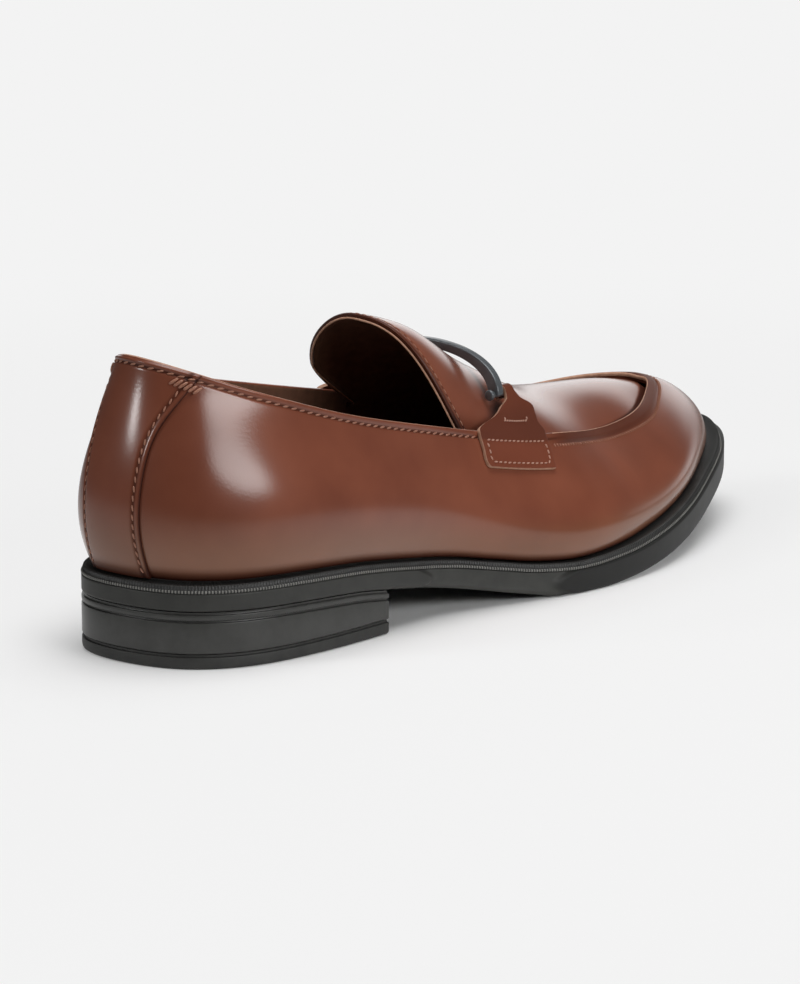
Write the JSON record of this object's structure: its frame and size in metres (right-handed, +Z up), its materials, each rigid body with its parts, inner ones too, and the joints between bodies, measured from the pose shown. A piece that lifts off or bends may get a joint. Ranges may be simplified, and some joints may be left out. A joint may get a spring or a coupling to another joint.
{
  "type": "horsebit loafer",
  "caption": "Slip-on leather dress shoe with a sunken apron plug, an arched tongue, a metal bit held by leather tabs, and a welted rubber sole with a low heel.",
  "frame": {"origin": "on the floor under the middle of the shoe's length and breadth", "axes": "+X from heel to toe, +Y to the inner (medial) side, +Z up"},
  "size_m": [0.3002, 0.1006, 0.0907],
  "materials": {
    "upper_leather": "polished smooth calf",
    "tongue_leather": "polished smooth calf",
    "backstay_leather": "polished smooth calf",
    "sock_leather": "plain lining leather",
    "welt_rubber": "moulded, satin, fine ribs on its edge",
    "sole_rubber": "moulded, satin",
    "heel_rubber": "moulded, satin",
    "top_piece_rubber": "moulded, matt",
    "tab_leather": "burnished calf with raw cut edges",
    "bit_metal": "gunmetal plated, polished"
  },
  "bodies": {
    "root": {"upper": "upper_leather", "tongue": "tongue_leather", "backstay": "backstay_leather", "insole": "sock_leather", "welt": "welt_rubber", "outsole": "sole_rubber", "heel_block": "heel_rubber", "heel_top_piece": "top_piece_rubber", "tab_lateral": "tab_leather", "tab_medial": "tab_leather", "bit": "bit_metal"}
  },
  "joints": []
}
